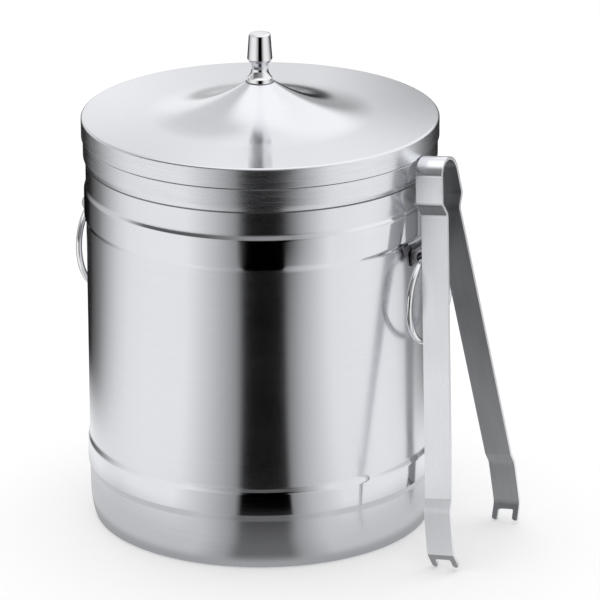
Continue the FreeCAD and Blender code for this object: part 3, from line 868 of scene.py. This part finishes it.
link(pale, total.outputs[0], end.inputs["Surface"])
paint(floor, pale)

# %% [markdown]
# The surroundings are a wide dome that only reflections can see. Its lowest ring lies on
# the floor round the bucket. Lists of lightness by direction, one for each stretch of the
# floor and each height, are blended into one another from the bucket outwards and upwards.
# An image of a studio would do the same, but these few lists can be read and changed.

# %% The surroundings that the steel reflects
# Each list gives how light the surroundings are, by degrees from the camera, right is plus.
ON_THE_FLOOR = (
    (-180, 0.3), (-168, 0.3), (-160, 0.0), (-142, 0.01), (-123, 0.22), (-110, 0.55), (-99, 0.8),
    (-88, 0.95), (-70, 1.0),
    (-45, 1.0), (-26, 0.6), (-13.5, 0.33), (-11.5, 0.24), (-10.9, 0.0), (14.2, 0.0), (14.9, 0.26),
    (24, 0.57), (42, 0.95), (70, 1.0), (88, 0.95), (99, 0.8), (110, 0.55), (123, 0.22),
    (142, 0.01), (180, 0.0))
FAR_FLOOR = (
    (-180, 0.0), (-142, 0.01), (-123, 0.22), (-110, 0.55), (-99, 0.8), (-88, 0.95), (-70, 1.0),
    (-45, 1.0), (-26, 0.6), (-14, 0.3), (-12, 0.05), (-8, 0.0), (16, 0.0), (19, 0.1), (27, 0.42),
    (42, 0.92), (70, 1.0), (88, 0.95), (99, 0.8), (110, 0.55), (123, 0.22), (142, 0.01), (180, 0.0))
AT_THE_HORIZON = (
    (-180, 0.55), (-168, 0.5), (-158, 0.1), (-140, 0.15), (-115, 0.6), (-90, 0.9), (-70, 1.0),
    (-45, 1.0), (-26, 0.6), (-14, 0.3), (-12, 0.05), (-8, 0.0), (16, 0.0), (19, 0.1), (27, 0.42),
    (42, 0.92), (70, 1.0), (95, 0.7), (115, 0.15), (150, 0.0), (180, 0.0))
ABOVE_IT = (
    (-180, 0.87), (-177, 0.9), (-171, 1.08), (-160, 0.95), (-130, 0.85), (-90, 0.65), (-75, 0.12),
    (-35, 0.12), (-12, 0.3), (20, 0.35), (40, 0.8), (60, 1.05), (90, 1.1), (120, 0.8), (150, 0.5),
    (171, 0.42), (177, 0.87), (180, 0.87))
HIGHER_UP = (
    (-180, 1.02), (-177, 1.03), (-171, 0.78), (-150, 0.74), (-90, 0.6), (-75, 0.2), (-35, 0.2),
    (-12, 0.3), (20, 0.35), (40, 0.8), (60, 1.05), (90, 1.1), (150, 1.12), (171, 1.15),
    (178, 1.0), (180, 1.02))
# The floor round the bucket is darker: a painted shadow of the bucket as the steel reflects it, with
# the aisle darker still.
NEAR_THE_BUCKET = (
    (-180, 0.66), (-26, 0.64), (-14, 0.38), (-9, 0.16), (11, 0.16), (16, 0.38), (28, 0.66),
    (180, 0.66))
UNDER_THE_EDGE = 0.42   # the floor right against the bucket, which the bucket itself shades
OVERHEAD = 1.2

surroundings = turned("surroundings", [(58, 0.3), (80, 0.3), (120, 0.3), (520, 0.3), (520, 300),
                                       (470, 520), (320, 680), (0, 760)], sides=96)
dim = bpy.data.materials.new("surroundings")
dim.use_nodes = True
dim.node_tree.nodes.clear()
spot = node(dim, "ShaderNodeTexCoord")
facing = node(dim, "ShaderNodeMapping", {"Rotation": (0, 0, math.pi / 2 - AZIMUTH)})
link(dim, spot.outputs["Object"], facing.inputs["Vector"])
parts = node(dim, "ShaderNodeSeparateXYZ")
link(dim, facing.outputs["Vector"], parts.inputs[0])
heading = node(dim, "ShaderNodeMath", operation="ARCTAN2")
link(dim, parts.outputs["Y"], heading.inputs[0])
link(dim, parts.outputs["X"], heading.inputs[1])
share = node(dim, "ShaderNodeMapRange", {"From Min": -math.pi, "From Max": math.pi})
link(dim, heading.outputs[0], share.inputs["Value"])


def round_about(light_by_degrees):
    """A ramp of lightness round the bucket."""
    ramp = node(dim, "ShaderNodeValToRGB")
    stops = ramp.color_ramp.elements
    while len(stops) > 1:
        stops.remove(stops[-1])
    for index, (degrees, light) in enumerate(light_by_degrees):
        position = (degrees + 180) / 360
        stop = stops[0] if index == 0 else stops.new(position)
        stop.position = position
        stop.color = (light, light, light, 1)
    link(dim, share.outputs["Result"], ramp.inputs["Fac"])
    return ramp.outputs["Color"]


def step(value, span):
    """0 before the span, given in mm, and 1 after it, smoothly."""
    made = node(dim, "ShaderNodeMapRange", {"From Min": span[0] * MM, "From Max": span[1] * MM},
                interpolation_type="SMOOTHSTEP")
    link(dim, value, made.inputs["Value"])
    return made.outputs["Result"]


def fade(share_of_second, first, second):
    made = node(dim, "ShaderNodeMix", data_type="RGBA")
    for value, socket in ((first, made.inputs[6]), (second, made.inputs[7])):
        if isinstance(value, float):
            socket.default_value = (value, value, value, 1)
        else:
            link(dim, value, socket)
    link(dim, share_of_second, made.inputs["Factor"])
    return made.outputs[2]


# %% Put the surroundings together, from the floor upwards
# Spans, in mm, over which one part of the surroundings gives way to the next
EDGE_TO_NEAR = (64, 69)
NEAR_TO_FRONT = (94, 122)
NEAR_TO_WHITE = (80, 110)
WHITE_TO_BACK = (110, 200)
FLOOR_TO_FAR = (360, 430)
BACK_TO_FRONT = (-20, 20)
FLOOR_TO_HORIZON = (40, 90)
HORIZON_TO_ABOVE = (175, 215)
ABOVE_TO_HIGHER = (280, 380)
HIGHER_TO_OVERHEAD = (560, 700)
flat_part = node(dim, "ShaderNodeVectorMath", operation="MULTIPLY")
flat_part.inputs[1].default_value = (1, 1, 0)
link(dim, facing.outputs["Vector"], flat_part.inputs[0])
distance = node(dim, "ShaderNodeVectorMath", operation="LENGTH")
link(dim, flat_part.outputs[0], distance.inputs[0])
towards = node(dim, "ShaderNodeMapRange",
               {"From Min": BACK_TO_FRONT[0] * MM, "From Max": BACK_TO_FRONT[1] * MM})
link(dim, parts.outputs["X"], towards.inputs["Value"])
height = parts.outputs["Z"]
across = distance.outputs["Value"]
low = fade(step(across, FLOOR_TO_FAR), round_about(ON_THE_FLOOR), round_about(FAR_FLOOR))
near = fade(step(across, EDGE_TO_NEAR), UNDER_THE_EDGE, round_about(NEAR_THE_BUCKET))
front_floor = fade(step(across, NEAR_TO_FRONT), near, low)
back_near = fade(step(across, NEAR_TO_WHITE), near, 1.0)
back_floor = fade(step(across, WHITE_TO_BACK), back_near, low)
ground = fade(towards.outputs["Result"], back_floor, front_floor)
up_to_horizon = fade(step(height, FLOOR_TO_HORIZON), ground, round_about(AT_THE_HORIZON))
up_to_wall = fade(step(height, HORIZON_TO_ABOVE), up_to_horizon, round_about(ABOVE_IT))
up_to_roof = fade(step(height, ABOVE_TO_HIGHER), up_to_wall, round_about(HIGHER_UP))
all_round = fade(step(height, HIGHER_TO_OVERHEAD), up_to_roof, OVERHEAD)
shine = node(dim, "ShaderNodeEmission")
link(dim, all_round, shine.inputs["Color"])
dim_end = node(dim, "ShaderNodeOutputMaterial")
link(dim, shine.outputs[0], dim_end.inputs["Surface"])
dim.cycles.emission_sampling = "NONE"
paint(surroundings, dim)
surroundings.visible_camera = False
surroundings.visible_diffuse = False
surroundings.visible_shadow = False

# %% World and lamp
SKY_LIGHT = 0.55        # the world's strength as a light; it is seen as plain white
LAMP_SIZE = 1.3
LAMP_WATTS = 6.0
world = bpy.data.worlds.new("studio")
bpy.context.scene.world = world
world.use_nodes = True
world.node_tree.nodes.clear()
sky_rays = node(world, "ShaderNodeLightPath")
sky_seen = node(world, "ShaderNodeMath", operation="MAXIMUM")
sky_seen_too = node(world, "ShaderNodeMath", operation="MAXIMUM")
link(world, sky_rays.outputs["Is Camera Ray"], sky_seen.inputs[0])
link(world, sky_rays.outputs["Is Glossy Ray"], sky_seen.inputs[1])
link(world, sky_seen.outputs[0], sky_seen_too.inputs[0])
link(world, sky_rays.outputs["Is Transmission Ray"], sky_seen_too.inputs[1])
sky_level = node(world, "ShaderNodeMapRange", {"To Min": SKY_LIGHT, "To Max": 1.0})
link(world, sky_seen_too.outputs[0], sky_level.inputs["Value"])
sky = node(world, "ShaderNodeBackground", {"Color": (1, 1, 1, 1)})
link(world, sky_level.outputs["Result"], sky.inputs["Strength"])
sky_end = node(world, "ShaderNodeOutputWorld")
link(world, sky.outputs[0], sky_end.inputs["Surface"])

lamp_data = bpy.data.lights.new("softbox", "AREA")
lamp_data.shape = "RECTANGLE"
lamp_data.size = LAMP_SIZE
lamp_data.size_y = LAMP_SIZE
lamp_data.energy = LAMP_WATTS
lamp = bpy.data.objects.new("softbox", lamp_data)
bpy.context.scene.collection.objects.link(lamp)
lamp.location = (-0.15, 0.1, 1.1)
lamp.visible_glossy = False

# %% [markdown]
# ## The camera
#
# A long lens from well back keeps the drum's sides almost parallel. The camera looks down
# by about twenty degrees, past the right-hand handle.

# %% Set the camera
LENS = 300.0
STAND_OFF = 1861.5
ASIDE = 14.22
RAISED = 75.87
camera_data = bpy.data.cameras.new("camera")
camera_data.lens = LENS
camera_data.sensor_width = 36.0
camera_data.clip_end = 20.0
camera = bpy.data.objects.new("camera", camera_data)
bpy.context.scene.collection.objects.link(camera)
bpy.context.scene.camera = camera
side = to_right * math.cos(ROLL) + up * math.sin(ROLL)
top_way = up * math.cos(ROLL) - to_right * math.sin(ROLL)
place = (to_right * ASIDE + up * RAISED - forward * STAND_OFF) * MM
turn = Matrix((side, top_way, -forward)).transposed().to_4x4()
camera.matrix_world = Matrix.Translation(place) @ turn
bpy.context.scene.view_settings.view_transform = "Standard"
print("camera at", [round(v, 3) for v in place])

# %% Bring the scene up to date and finish
bpy.context.view_layer.update()
